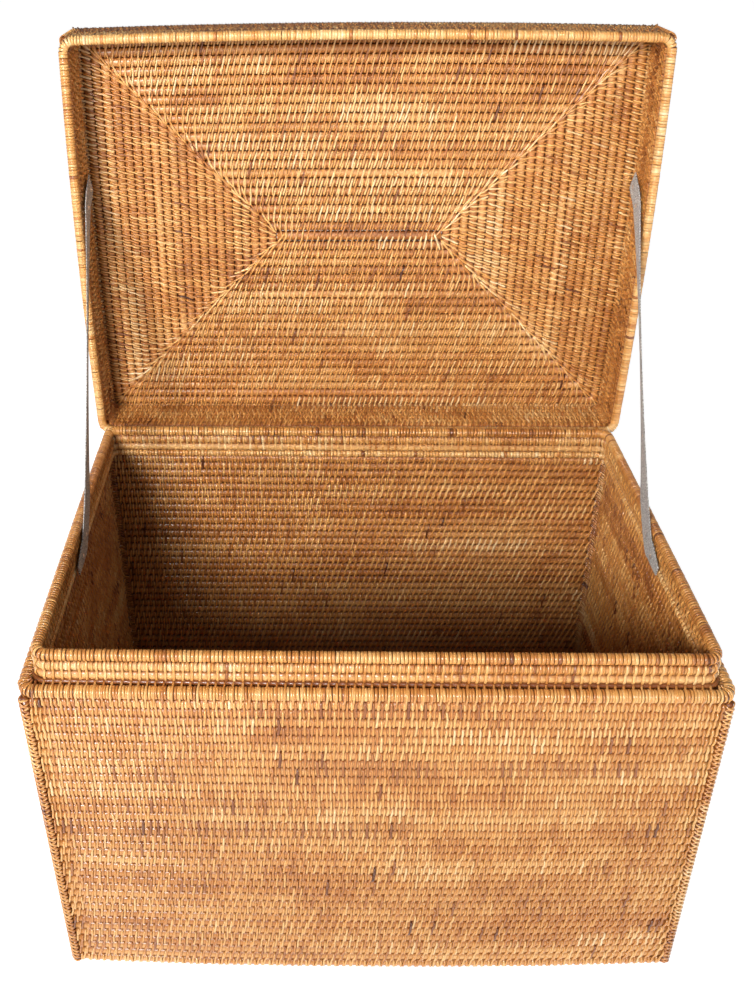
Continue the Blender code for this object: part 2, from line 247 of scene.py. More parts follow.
def grid_faces(index, closed):
    """Quads round swept strips. index is (strips, marks, corners); open strips get end caps."""
    after = np.roll(index, -1, 2)
    if closed:
        quads = np.stack((index, after, np.roll(after, -1, 1), np.roll(index, -1, 1)), -1)
        return quads.reshape(-1, 4)
    quads = np.stack((index[:, :-1], after[:, :-1], after[:, 1:], index[:, 1:]), -1).reshape(-1, 4)
    last = index.shape[2] - 1
    caps = [ends[:, (i, i + 1, last - 1 - i, last - i)]
            for ends in (index[:, 0, ::-1], index[:, -1]) for i in range(last // 2)]
    return np.concatenate((quads, *caps))


def facing_out(quads, points):
    """The quads, turned round if together they enclose a negative volume."""
    a, b, c, d = (points[quads[:, i]] for i in range(4))
    volume = np.einsum("ij,ij->i", a, np.cross(b, c) + np.cross(c, d)).sum()
    return quads[:, ::-1] if volume < 0 else quads


class Weave:
    """Gathers rods (material 0) and stitches (material 1) and makes one mesh of them."""

    def __init__(self, seed):
        self.parts = []
        self.count = 0
        self.random = np.random.default_rng(seed)

    def sweep(self, warp, path, side, section, sizes, kind, tone, depth, closed=False):
        """Sweeps a section along each path of S strips with M points each, after the warp.

        path and side are (S, M, 3), sizes are the section's width and thickness as (S, M), tone
        is (S, M), and depth is painted shade, from 0 in the shade between the rods to 1 in the
        open.
        """
        side = warp(path + NUDGE * side) - warp(path)
        path = warp(path)
        ahead = np.roll(path, -1, 1) - np.roll(path, 1, 1) if closed else np.gradient(path, axis=1)
        ahead = unit(ahead)
        up = unit(np.cross(side, ahead))
        side = unit(np.cross(ahead, up))
        across = section[:, 0] * sizes[0][..., None]
        lift = section[:, 1] * sizes[1][..., None]
        loops = path[:, :, None] + side[:, :, None] * across[..., None]
        loops = loops + up[:, :, None] * lift[..., None]
        shape = loops.shape[:3]
        points = loops.reshape(-1, 3)
        quads = facing_out(grid_faces(np.arange(len(points)).reshape(shape), closed), points)
        steps = np.linalg.norm(np.diff(path, axis=1, prepend=path[:, :1]), axis=-1)
        run = np.cumsum(steps, axis=1)[..., None]
        seed = self.random.uniform(0, 100, (shape[0], 1, 1))
        grain, tone_and_painted_shade = (np.stack([np.broadcast_to(x, shape) for x in values], -1)
                       for values in ((run, across, seed), (tone[..., None], depth, seed / 100)))
        kinds = np.full(len(quads), kind)
        self.parts.append((points, quads + self.count, kinds, grain.reshape(-1, 3),
                           tone_and_painted_shade.reshape(-1, 3)))
        self.count += len(points)

    def piece(self, name, body, slot, nodes=(), looks=None):
        """Makes the mesh, lets it ride on a body and stand for CAD nodes."""
        points, quads, kinds, grain, tone_and_painted_shade = (np.concatenate(x) for x in zip(*self.parts))
        mesh = bpy.data.meshes.new(name)
        mesh.vertices.add(len(points))
        mesh.vertices.foreach_set("co", points.astype(np.float32).ravel())
        mesh.loops.add(len(quads) * 4)
        mesh.loops.foreach_set("vertex_index", quads.astype(np.int32).ravel())
        mesh.polygons.add(len(quads))
        mesh.polygons.foreach_set("loop_start", np.arange(0, len(quads) * 4, 4, dtype=np.int32))
        mesh.polygons.foreach_set("material_index", kinds.astype(np.int32))
        for label, values in (("grain", grain), ("tone_and_painted_shade", tone_and_painted_shade)):
            attribute = mesh.attributes.new(label, "FLOAT_VECTOR", "POINT")
            attribute.data.foreach_set("vector", values.astype(np.float32).ravel())
        mesh.update(calc_edges=True)
        mesh.shade_smooth()
        for material in looks or RATTAN_LOOKS:
            mesh.materials.append(material)
        thing = bpy.data.objects.new(name, mesh)
        bpy.context.scene.collection.objects.link(thing)
        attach(thing, body)
        if nodes:
            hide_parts(*nodes)
        return thing


# How rods and stitches are cut up, and how unevenly they lie.
ROD_ACROSS = 0.52            # radius of a rod across the rows, in rows, so that neighbours touch
ROD_THROUGH = 0.45           # and through the panel, in thicknesses of the panel
ROD_STEP = 0.02              # between the points of a straight rod
BEAD_MARKS = 6               # points from one bead of a pinched rod to the next
WINDING_MARKS = 12           # points round one turn of winding
FAN_LENGTH = 0.009           # how far from a mitre the stitches still fan
PEEL_RUN = (8, 45)           # stitches made with one length of peel
TONE_JITTER = 0.075
DARK_MARK = (0.15, 0.40)     # how much darker a rare dark stitch is
PLACE_JITTER = 0.0003
LEAN_JITTER = 0.03           # along per across, as lean and bend are
BEND_JITTER = 0.03
STITCH_LIFT = (0.96, 1.06)
STITCH_SPREAD = (0.88, 1.10)

TUBE_TURNS = 2 * math.pi * np.arange(8) / 8
TUBE = np.stack((np.cos(TUBE_TURNS), np.sin(TUBE_TURNS)), -1)
TUBE_PAINTED_SHADE = clamp(np.abs(TUBE[:, 1]) * 1.05) ** 2.3                     # painted shade between the rods
WALL_TUBE_PAINTED_SHADE = np.where(TUBE[:, 1] < -0.1, 0.58, 1.0) * TUBE_PAINTED_SHADE    # and more painted shade on the inside face


def tones(random, count, mean=0.60, spread=0.11, dark=0.015):
    """Peel colours along a row: one length of peel makes a run of like stitches."""
    level = np.empty(count)
    start = 0
    while start < count:
        run = int(random.integers(*PEEL_RUN))
        level[start:start + run] = random.normal(mean, spread)
        start += run
    level += random.normal(0, TONE_JITTER, count)
    odd = random.uniform(size=count) < dark
    level[odd] -= random.uniform(*DARK_MARK, odd.sum())
    return level


# How a stitch lies over two rods, as (across the rows, height), both in rows; the ends dive
# between the rods. SINGLE holds one rod only.
STITCH_FINE = np.array(((-0.89, 0.02), (-0.83, 0.35), (-0.67, 0.49), (-0.40, 0.50), (0.0, 0.35),
                        (0.40, 0.50), (0.67, 0.49), (0.83, 0.35), (0.89, 0.02)))
STITCH_PLAIN = np.array(((-0.93, 0.04), (-0.82, 0.41), (-0.46, 0.51), (0.0, 0.35),
                         (0.46, 0.51), (0.82, 0.41), (0.93, 0.04)))
SINGLE = np.array(((-0.46, 0.05), (-0.38, 0.33), (-0.20, 0.46), (0.0, 0.50), (0.20, 0.46),
                   (0.38, 0.33), (0.46, 0.05)))


def stitch_row(weave, panel, u, v, lean, tone, shape, pitch=PITCH, thickness=0.0015,
               width=0.0036, reach=1.0, height=0.86):
    """A row of stitches on a panel. u, lean, tone are per stitch; v is the row's middle."""
    random = weave.random
    count = len(u)
    u = u + random.normal(0, PLACE_JITTER, count)
    lean = lean + random.normal(0, LEAN_JITTER, count)
    bend = random.normal(0, BEND_JITTER, count)
    across = shape[:, 0] * pitch
    level = shape[:, 1] * (pitch * height)
    reach = np.broadcast_to(reach, (count,))
    vv = v + across[None] * reach[:, None]
    uu = u[:, None] + lean[:, None] * across * reach[:, None]
    uu = uu + bend[:, None] * (1 - 2 * np.abs(shape[:, 0])) * pitch
    path = panel.place(uu, vv, level[None] * random.uniform(*STITCH_LIFT, (count, 1)))
    side = panel.u - lean[:, None] * panel.v
    side = np.broadcast_to(side[:, None], path.shape)
    widths = (width * random.uniform(*STITCH_SPREAD, count))[:, None]
    ends = 1 - 0.22 * np.abs(shape[:, 0] / np.abs(shape[:, 0]).max()) ** 4       # narrower ends
    depth = (0.10 + 0.90 * clamp(shape[:, 1] / 0.46) ** 1.5)[None, :, None]      # painted shade at the ends, where they dive between the rods
    tone = np.broadcast_to(tone[:, None], path.shape[:2])
    sizes = (widths * ends, np.full_like(path[..., 0], thickness))
    weave.sweep(panel.warp, path, side, BAND, sizes, 1, tone, depth)


def rod_row(weave, panel, half_length, v, pitch=PITCH, thickness=WALL_THICKNESS, mean=0.56,
            depth=TUBE_PAINTED_SHADE):
    """One straight rod of a panel."""
    u = np.linspace(-half_length, half_length, int(2 * half_length / ROD_STEP))[None]
    path = panel.place(u, np.full_like(u, v), np.zeros_like(u))
    side = np.broadcast_to(-panel.v, path.shape)
    tone = np.full(u.shape, weave.random.normal(mean, 0.06))
    sizes = (np.full(u.shape, pitch * ROD_ACROSS), np.full(u.shape, thickness * ROD_THROUGH))
    weave.sweep(panel.warp, path, side, TUBE, sizes, 0, tone, depth)


def row_places(half_length, pitch, shift):
    """Even places along a row; a shift of 1 moves them on by half a stitch."""
    count = int(2 * half_length / pitch)
    return -half_length + (np.arange(count) + 0.25 + 0.5 * shift) * (2 * half_length / count)


def weave_wall(name, origin, u, half_length, outer_shape, seed, zigzag=0.0):
    """A wall of coiled weave: rods, and stitches on both faces."""
    panel = Panel(origin, u, Z, bow_trunk, seed)
    outside, inside = Weave(seed), Weave(seed + 1)
    thickness = 0.0018 if zigzag else 0.0014
    past_end = half_length + 0.0015          # the last stitches reach into the corners
    for row in range(WALL_ROWS):
        rod_row(inside, panel, half_length, (row + 0.5) * PITCH, mean=0.64, depth=WALL_TUBE_PAINTED_SHADE)
    # Inside, the stitches take a darker tone than outside: painted shade inside the trunk.
    for weave, face, shape, pitch, width, mean in (
            (outside, panel, outer_shape, STITCH, 0.0033, 0.58),
            (inside, panel.back(), STITCH_PLAIN, INSIDE_STITCH, 0.0030, 0.49 if zigzag else 0.54)):
        # The stitches lean most low down, and inside the back and front also towards one end.
        slope = weave.random.normal(0.0, 0.045, WALL_ROWS) + np.linspace(0.20, 0.02, WALL_ROWS)
        for row in range(1, WALL_ROWS):
            places = row_places(past_end, pitch, row % 2)
            tone = tones(weave.random, len(places), mean, 0.09)
            lean = np.full(len(places), slope[row])
            if weave is inside and zigzag:
                lean = lean + zigzag * (1 if row % 2 else -1)
            elif weave is inside:
                lean = lean + 0.20 * clamp(0.5 + 0.8 * places / half_length)
            stitch_row(weave, face, places, row * PITCH, lean, tone, shape, PITCH, thickness,
                       width, height=0.82)
        for row, middle, edge_mean in ((0, 0.5, 0.68), (WALL_ROWS, WALL_ROWS - 0.5, 0.6)):
            places = row_places(past_end, pitch, row % 2)
            tone = tones(weave.random, len(places), edge_mean)
            stitch_row(weave, face, places, middle * PITCH, np.zeros(len(places)), tone, SINGLE)
    outside.piece(name + "_outer_stitches", "trunk", "rattan_weave")
    inside.piece(name + "_rods_and_inner_stitches", "trunk", "rattan_weave", (name,))


def wrap_ring(weave, ring, z, radius, pitch, warp, width, thickness, mean=0.66, spread=0.05,
              places=None, hidden=None):
    """Separate turns of peel wound round a ring of rod.

    hidden is the side that the weave shades, as an angle from outwards towards up; the turns get
    painted shade there.
    """
    if places is None:
        places = np.arange(int(ring.length / pitch)) * ring.length / int(ring.length / pitch)
    count = len(places)
    places = places + weave.random.normal(0, pitch * 0.05, count)
    turns = 2 * math.pi * np.arange(WINDING_MARKS) / WINDING_MARKS
    tilt = weave.random.normal(0, pitch * 0.06, count)
    s = places[:, None] + tilt[:, None] * np.sin(turns)[None]
    place, out, ahead = ring.at(s)
    lift = radius * weave.random.uniform(0.985, 1.03, (count, 1, 1))
    path = place + out * np.cos(turns)[None, :, None] * lift
    path = path + Z * (z + lift * np.sin(turns)[None, :, None])
    tone = np.broadcast_to(tones(weave.random, count, mean, spread, 0.02)[:, None], s.shape)
    widths = np.broadcast_to((width * weave.random.uniform(0.9, 1.08, count))[:, None], s.shape)
    sizes = (widths, np.full(s.shape, thickness))
    # Painted shade on each turn's hidden side; elsewhere the turns are nearly open.
    depth = 0.95 if hidden is None else np.where(np.cos(turns - hidden) > 0.3, 0.1, 0.95)[:, None]
    weave.sweep(warp, path, ahead, BAND, sizes, 1, tone, depth, closed=True)


def core_ring(weave, ring, z, radius_out, radius_z, warp, tone=0.45, depth=0.15, beads=None,
              mitre=0.0):
    """The plain rod inside a wound rim or along a ring of weave.

    beads is (pitch, shift) where stitches pinch the rod, and mitre widens it on the diagonals.
    """
    # depth is painted shade; the default keeps the core of a wound rim dark between its turns.
    if beads is None:
        s = ring.inner_marks()[None]
        swell = np.ones(s.shape)
    else:
        pitch, shift = beads
        s = (np.arange(int(ring.length / pitch) * BEAD_MARKS) / BEAD_MARKS * pitch)[None]
        s = s * ring.length / (s[0, -1] + pitch / BEAD_MARKS)
        swell = 1 - 0.10 * np.cos(2 * math.pi * (s / pitch - shift))
    place, out, _ = ring.at(s)
    swell = swell + mitre * (2 * out[..., 0] * out[..., 1]) ** 2
    sizes = (radius_out * swell, radius_z * (1 + (swell - 1) * (0.0 if mitre else 0.4)))
    tone = np.full(s.shape, tone)
    weave.sweep(warp, place + Z * z, out, TUBE, sizes, 0, tone, depth, closed=True)


def ring_strips(weave, ring, places, profile, width, slant, tone, thickness, depth):
    """Strips laid over a ring's section on the trunk.

    profile lists (outwards, up) along a strip, which slants forward by slant over its length;
    depth, the painted shade, has one value for each of its points.
    """
    outwards, up = np.array(profile, float).T
    run = np.concatenate(([0], np.cumsum(np.hypot(np.diff(outwards), np.diff(up)))))
    share = run / run[-1] - 0.5
    places = places + weave.random.normal(0, 0.0004, len(places))
    tilt = slant + weave.random.normal(0, 0.0005, len(places))
    s = places[:, None] + tilt[:, None] * share[None]
    place, out, ahead = ring.at(s)
    path = place + out * outwards[None, :, None] + Z * up[None, :, None]
    widths = (width * weave.random.uniform(0.88, 1.1, len(places)))[:, None]
    sizes = (np.broadcast_to(widths, s.shape), np.full(s.shape, thickness))
    tone = np.broadcast_to(tone[:, None], s.shape)
    weave.sweep(bow_trunk, path, ahead, BAND, sizes, 1, tone, np.array(depth)[None, :, None])


def arc(centre_out, centre_z, radius, start, stop, count, tall=None):
    """Points (out, z) on an arc, angles in degrees from outwards, towards up."""
    turns = np.radians(np.linspace(start, stop, count))
    tall = tall or radius
    return [(centre_out + radius * math.cos(t), centre_z + tall * math.sin(t)) for t in turns]


# ---------------------------------------------------------------- materials

class Nodes:
    """A little shorthand for building a node tree."""

    def __init__(self, name):
        self.material = bpy.data.materials.new(name)
        self.material.use_nodes = True
        self.tree = self.material.node_tree
        self.shader = self.tree.nodes["Principled BSDF"]

    def add(self, kind, inputs=None, **settings):
        node = self.tree.nodes.new("ShaderNode" + kind)
        for key, value in settings.items():
            setattr(node, key, value)
        for key, value in (inputs or {}).items():
            self.feed(node.inputs[key], value)
        return node

    def feed(self, socket, value):
        if isinstance(value, bpy.types.NodeSocket):
            self.tree.links.new(value, socket)
        else:
            socket.default_value = value

    def math(self, operation, *values):
        node = self.add("Math", operation=operation)
        for socket, value in zip(node.inputs, values):
            self.feed(socket, value)
        return node.outputs[0]

    def vary(self, level, noise, amount):
        """The level moved up and down by a noise whose middle is 0.5."""
        swing = self.math("SUBTRACT", noise, 0.5)
        return self.math("ADD", level, self.math("MULTIPLY", swing, amount))

    def ramp(self, factor, stops):
        node = self.add("ValToRGB", {"Fac": factor})
        elements = node.color_ramp.elements
        while len(elements) < len(stops):
            elements.new(0.5)
        for element, (place, colour) in zip(elements, stops):
            element.position = place
            element.color = (*colour, 1)
        return node.outputs[0]

    def noise(self, vector, scale, detail=2.0, roughness=0.5):
        node = self.add("TexNoise", {"Vector": vector, "Scale": scale, "Detail": detail,
                                     "Roughness": roughness})
        return node.outputs["Fac"]

    def multiply(self, a, b):
        """The product of two colours."""
        node = self.add("Mix", {0: 1.0, 6: a, 7: b}, data_type="RGBA", blend_type="MULTIPLY")
        return node.outputs[2]

    def scaled(self, vector, scale):
        return self.add("Mapping", {"Vector": vector, "Scale": scale}).outputs[0]

    def set(self, **values):
        for key, value in values.items():
            self.feed(self.shader.inputs[key.replace("_", " ")], value)


def rattan(name, stops, streak, patch, stretch, roughness, coat):
    """Split peel or rod: fibres along its length, longer patches, and painted shade in the valleys.

    streak and patch are how strongly the fibres and the patches tell; stretch is how many
    patches there are in a metre.
    """
    n = Nodes(name)
    grain = n.add("Attribute", attribute_name="grain").outputs["Vector"]
    tone_and_painted_shade = n.add("Attribute", attribute_name="tone_and_painted_shade").outputs["Vector"]
    tone, depth = n.add("SeparateXYZ", {"Vector": tone_and_painted_shade}).outputs[:2]
    fibres = n.noise(n.scaled(grain, (90, 2600, 3.1)), 1.0, 3.0, 0.6)
    blotch = n.noise(n.scaled(grain, (stretch, 60, 1.7)), 1.0, 3.0, 0.6)
    place = n.add("TexCoord").outputs["Object"]
    wide = n.noise(n.scaled(place, (9, 9, 16)), 1.0, 4.0, 0.65)
    level = n.vary(tone, fibres, streak)
    level = n.vary(level, blotch, patch)
    level = n.vary(level, wide, 0.45)
    colour = n.ramp(level, stops)
    # Painted shade: depth darkens the colour between the rods, at tucked ends and on hidden sides.
    painted_shade_level = n.add("MapRange", {"Value": depth, "From Min": 0.05, "From Max": 0.85, "To Min": 0.0,
                                "To Max": 1.0}).outputs[0]
    shade = n.ramp(painted_shade_level, ((0.0, (0.12, 0.06, 0.03)), (0.45, (0.64, 0.50, 0.40)),
                            (1.0, (1, 1, 1))))
    colour = n.multiply(colour, shade)
    gloss = n.vary(roughness, fibres, 0.22)
    bump = n.add("Bump", {"Height": fibres, "Strength": 0.28, "Distance": 0.0004})
    n.set(Base_Color=colour, Roughness=gloss, Normal=bump.outputs[0], Coat_Weight=coat,
          Coat_Roughness=0.15)
    return n.material


peel_look = rattan("split_peel", (
    (0.00, (0.075, 0.016, 0.004)), (0.22, (0.250, 0.072, 0.014)), (0.42, (0.500, 0.185, 0.036)),
    (0.60, (0.670, 0.315, 0.080)), (0.78, (0.760, 0.450, 0.170)), (1.00, (0.850, 0.640, 0.370))),
    0.34, 0.20, 40, 0.40, 0.75)
rod_look = rattan("rattan_rod", (
    (0.00, (0.075, 0.020, 0.005)), (0.30, (0.260, 0.080, 0.018)), (0.55, (0.520, 0.205, 0.048)),
    (0.80, (0.710, 0.390, 0.140)), (1.00, (0.800, 0.540, 0.270))),
    0.15, 0.50, 9, 0.42, 0.35)
RATTAN_LOOKS = (rod_look, peel_look)


# ---------------------------------------------------------------- trunk

def build_walls():
    middle_y = (WALL_OUT_Y + WALL_IN_Y) / 2
    middle_x = (WALL_OUT_X + WALL_IN_X) / 2
    weave_wall("front_wall", (0, -middle_y, 0), X, WALL_IN_X, STITCH_FINE, 11)
    weave_wall("back_wall", (0, middle_y, 0), -X, WALL_IN_X, STITCH_PLAIN, 21)
    weave_wall("left_wall", (-middle_x, 0, 0), -Y, WALL_IN_Y, STITCH_PLAIN, 31, zigzag=0.35)
    weave_wall("right_wall", (middle_x, 0, 0), Y, WALL_IN_Y, STITCH_PLAIN, 41, zigzag=0.35)


def mitred_face(weave, sides, half_y, stitch, lean):
    """Stitches of concentric rectangles, fanned along the mitres. sides are (Panel, length)."""
    for panel, length in sides:
        for row in range(1, int(half_y / PITCH) + 1):
            half = length - row * PITCH
            if half < stitch:
                continue
            places = row_places(half, stitch, row % 2)
            to_mitre = half - np.abs(places)
            fan = np.sign(places) * np.exp(-to_mitre / FAN_LENGTH)
            tilt = lean * (1 - np.abs(fan)) - fan
            reach = 1 + 0.25 * np.abs(fan)
            tone = tones(weave.random, len(places))
            stitch_row(weave, panel, places, row * PITCH, tilt, tone, STITCH_PLAIN, PITCH, 0.0014,
                       stitch * 0.38, reach)
        places = row_places(length - 0.004, stitch, 0)
        tone = tones(weave.random, len(places))
        stitch_row(weave, panel, places, 0.5 * PITCH, np.zeros(len(places)), tone, SINGLE)


def mitred_rods(weave, place, half_x, half_y):
    """Concentric rods of a mitred panel, with one straight rod in the middle."""
    thickness = WALL_THICKNESS * 0.43
    for row in range(int(half_y / PITCH)):
        inset = (row + 0.5) * PITCH
        ring = Ring(half_x - inset, half_y - inset, 0.005)
        core_ring(weave, ring, 0, PITCH * ROD_ACROSS, thickness, place,
                  tone=weave.random.normal(0.54, 0.08), depth=TUBE_PAINTED_SHADE, mitre=0.45)
    half_length = half_x - half_y + 0.0065
    u = np.linspace(-half_length, half_length, 12)[None]
    path = u[..., None] * X
    side = np.broadcast_to(-Y, path.shape)
    sizes = (np.full(u.shape, PITCH * 0.58), np.full(u.shape, thickness))
    weave.sweep(place, path, side, TUBE, sizes, 0, np.full(u.shape, 0.5), TUBE_PAINTED_SHADE)


def mitred_sides(half_x, half_y, z, up, warp):
    """The four sides of a mitred face; up is +1 for its upper face and -1 for its lower one."""
    sides = []
    for inward, length, depth in ((Y, half_x, half_y), (-X, half_y, half_x),
                                  (-Y, half_x, half_y), (X, half_y, half_x)):
        along = np.cross(inward, up * Z)
        panel = Panel(Z * z - inward * depth, along, inward, warp, wander=0.0)
        sides.append((panel, length))
    return sides


def build_base():
    half_x, half_y, middle = WALL_IN_X - 0.001, WALL_IN_Y - 0.001, WALL_THICKNESS / 2
    top = Weave(51)
    mitred_rods(top, lambda points: bow_trunk(points + Z * middle), half_x, half_y)
    mitred_face(top, mitred_sides(half_x, half_y, middle, 1, bow_trunk), half_y, STITCH, 0.15)
    top.piece("base_rods_and_inner_stitches", "trunk", "rattan_weave", ("base_panel",))
    under = Weave(52)
    mitred_face(under, mitred_sides(half_x, half_y, middle, -1, bow_trunk), half_y, STITCH, 0.15)
    under.piece("base_under_stitches", "trunk", "rattan_weave")


def corner_strips(weave, ring, corner, low, high, warp, face, step, rise, width, reach, way, lift,
                  mean, near):
    """Slanted strips bridging a corner. face is 1 outside, and way the sense of their slant."""
    margin = 0.002
    height = high - low - 2 * margin
    rows = int(round(height / step))
    centre = low + margin + (np.arange(rows) + 0.5 + 0.2 * way) * height / rows
    q = np.linspace(-1, 1, 9)                # along a strip, 0 where it crosses the corner
    s = ring.corners[corner] + q[None] * reach + np.zeros((rows, 1))
    up = centre[:, None] + way * q[None] * rise + weave.random.normal(0, 0.0004, (rows, 1))
    up = clamp(up, low + margin / 2, high - margin / 2)
    place, out, _ = ring.at(s)
    sink = 0.0003 + lift * (1 - q ** 2) - 0.0035 * np.abs(q) ** 4
    path = place + out * face * sink[None, :, None] + Z * up[..., None]
    side = -face * np.broadcast_to(Z, path.shape)
    widths = np.full(s.shape, width) * (1 - 0.2 * np.abs(q))
    tone = np.broadcast_to(tones(weave.random, rows, mean)[:, None], s.shape)
    # Painted shade: near where the strips cross the corner, darker towards their ends.
    depth = (near - 0.6 * np.abs(q) ** 2)[None, :, None]
    weave.sweep(warp, path, side, BAND, (widths, np.full(s.shape, 0.0011)), 1, tone, depth)


def corner_post(name, node, body, outer, inner, corner, low, high, warp, seed):
    """A corner rod bound to both panels: fine crossing strips outside, slanted ones inside."""
    weave = Weave(seed)
    radius = 0.0048
    z = np.linspace(low, high, 14)[None]
    place, out, ahead = outer.at(np.full_like(z, outer.corners[corner]))
    path = place - out * radius + Z * z[..., None]
    sizes = (np.full(z.shape, radius), np.full(z.shape, radius))
    # The corner rod is dark, partly by its darker tone and partly by painted shade (depth 0.5).
    weave.sweep(warp, path, ahead, TUBE, sizes, 0, np.full(z.shape, 0.35), 0.5)
    for way, lift in ((1, 0.0), (-1, 0.0008)):
        corner_strips(weave, outer, corner, low, high, warp, face=1, step=0.0064, rise=0.0052,
                      width=0.0031, reach=0.0088, way=way, lift=lift, mean=0.56, near=1.0)
    # Inside, a darker tone and a lower near: painted shade in the inner corner.
    corner_strips(weave, inner, corner, low, high, warp, face=-1, step=0.0046, rise=0.0045,
                  width=0.0031, reach=0.0080, way=1, lift=0.0, mean=0.48, near=0.62)
    weave.piece(name, body, "rattan_peel", (node,))


CORNER_NAMES = ("back_right", "back_left", "front_left", "front_right")


def build_corners():
    for node, body, outer, inner, low, high, warp, seed in (
            ("corner_binding_", "trunk", Ring(WALL_OUT_X + 0.0004, WALL_OUT_Y + 0.0004, 0.007),
             Ring(WALL_IN_X, WALL_IN_Y, 0.006), 0.0004, WALL_TOP - 0.0005, bow_trunk, 60),
            ("lid_corner_binding_", "lid", Ring(SKIRT_OUT_X + 0.0002, SKIRT_OUT_Y + 0.0002, 0.008),
             Ring(SKIRT_IN_X, SKIRT_IN_Y, 0.006), SKIRT_LOW, SKIRT_TOP, bow_lid, 70)):
        for corner, where in enumerate(CORNER_NAMES):
            corner_post(node + where + "_peel", node + where, body, outer, inner, corner, low, high,
                        warp, seed + corner)


def build_shoulder():
    weave = Weave(81)
    ring = Ring(HALF_X - SHOULDER_RADIUS, HALF_Y - SHOULDER_RADIUS, 0.012)
    core_ring(weave, ring, SHOULDER_Z, 0.0064, 0.0064, bow_trunk)
    wrap_ring(weave, ring, SHOULDER_Z, 0.0066, 0.0034, bow_trunk, 0.0034, 0.0008, mean=0.56)
    count = int(ring.length / STITCH)
    places = (np.arange(count) + 0.5) * ring.length / count
    wall = SHOULDER_RADIUS - WALL_INSET      # the wall's outside, seen from the rim's middle
    profile = [(wall - 0.0052, WALL_TOP - 0.0112), (wall - 0.0012, WALL_TOP - 0.0088),
               (wall + 0.0004, WALL_TOP - 0.0058), (wall - 0.0006, WALL_TOP - 0.0020)]
    profile += arc(0, SHOULDER_Z, 0.0074, -38, 128, 8, 0.0069)
    profile += [(-0.0072, SHOULDER_TOP - 0.0001), (-0.0085, SHOULDER_TOP + 0.0005)]
    # Painted shade where the strips tuck down into the wall and in under the collar.
    depth = (0.1, 0.6, 0.9, 0.7, 0.85, 1, 1, 1, 1, 1, 0.9, 0.75, 0.4, 0.2)
    tone = tones(weave.random, count, 0.60, 0.09)
    ring_strips(weave, ring, places, profile, 0.0030, 0.0030, tone, 0.0009, depth)
    weave.piece("shoulder_rim_winding", "trunk", "rattan_peel", ("shoulder_rim",))


COLLAR_CENTRE = NECK_INSET + WALL_THICKNESS / 2
COLLAR_ROW_LOW = COLLAR_LOW + PITCH * 0.5
COLLAR_ROW_HIGH = COLLAR_LOW + PITCH * 1.5
COLLAR_RING = Ring(HALF_X - COLLAR_CENTRE, HALF_Y - COLLAR_CENTRE, 0.014)
COLLAR_STITCHES = int(COLLAR_RING.length / STITCH)


def build_collar():
    """Two rows of weave, and a thin rod in the crevice between them and the shoulder rim."""
    weave = Weave(83)
    low, high, ring, count = COLLAR_ROW_LOW, COLLAR_ROW_HIGH, COLLAR_RING, COLLAR_STITCHES
    pitch = ring.length / count
    # The rods' painted shade is turned a quarter round to fall between the two rows.
    for z in (low, high):
        core_ring(weave, ring, z, 0.0049, 0.0061, bow_trunk, 0.74, np.roll(TUBE_PAINTED_SHADE, 2),
                  (pitch, 0.5))
    # A thin rod in the crevice, darkened by painted shade.
    crevice = Ring(HALF_X - 0.0172, HALF_Y - 0.0172, 0.012)
    core_ring(weave, crevice, SHOULDER_TOP - 0.0014, 0.0030, 0.0030, bow_trunk, 0.45, 0.28,
              (STITCH, 0.3))
    # Painted shade at the strips' ends and where they dip between the two rods.
    depth = (0.1, 0.7, 1, 1, 1, 0.8, 0.7, 0.8, 1, 1, 1, 0.7, 0.1)
    for face, turn, shift, mean in ((1, 0, 0.5, 0.60), (-1, 180, 0.25, 0.56)):
        edge = 0.0012 * face
        profile = [(edge, low - 0.0063)]
        profile += arc(0, low, 0.0052, turn - 62 * face, turn + 52 * face, 5, 0.0061)
        profile += [(0.0030 * face, (low + high) / 2)]
        profile += arc(0, high, 0.0052, turn - 52 * face, turn + 62 * face, 5, 0.0061)
        profile += [(edge, high + 0.0063)]
        tone = tones(weave.random, count, mean, 0.09, 0.03)
        places = (np.arange(count) + shift) * pitch
        ring_strips(weave, ring, places, profile, 0.0036, 0.0012, tone, 0.0012, depth)
    weave.piece("neck_collar_weave", "trunk", "rattan_weave", ("neck_collar",))


def build_neck_rim():
    """The wound rim on the collar, and strips that tie it down over the collar's upper row."""
    weave = Weave(84)
    high, centre = COLLAR_ROW_HIGH, NECK_INSET + NECK_RIM_RADIUS
    ring = Ring(HALF_X - centre, HALF_Y - centre, 0.014)
    core_ring(weave, ring, NECK_RIM_Z, 0.0054, 0.0054, bow_trunk)
    wrap_ring(weave, ring, NECK_RIM_Z, 0.0057, 0.0042, bow_trunk, 0.0042, 0.0008, mean=0.53)
    top, foot = NECK_RIM_Z - 0.0052, high - 0.0068
    outer = [(0.0034, top)] + arc(0.0010, high, 0.0054, 48, -60, 6, 0.0062) + [(0.0018, foot)]
    inner = [(-0.0024, top)] + arc(0.0010, high, 0.0054, 132, 240, 6, 0.0062) + [(-0.0002, foot)]
    # Painted shade at the strips' ends, under the rim's winding and below the collar's upper row.
    depth = (0.2, 0.6, 1, 1, 1, 0.9, 0.6, 0.1)
    count = COLLAR_STITCHES
    for profile, shift, mean in ((outer, 0.0, 0.62), (inner, 0.75, 0.56)):
        places = (np.arange(count) + shift) * ring.length / count
        tone = tones(weave.random, count, mean, 0.08)
        ring_strips(weave, ring, places, profile, 0.0036, -0.0008, tone, 0.0012, depth)
    weave.piece("neck_rim_winding", "trunk", "rattan_peel", ("neck_rim",))


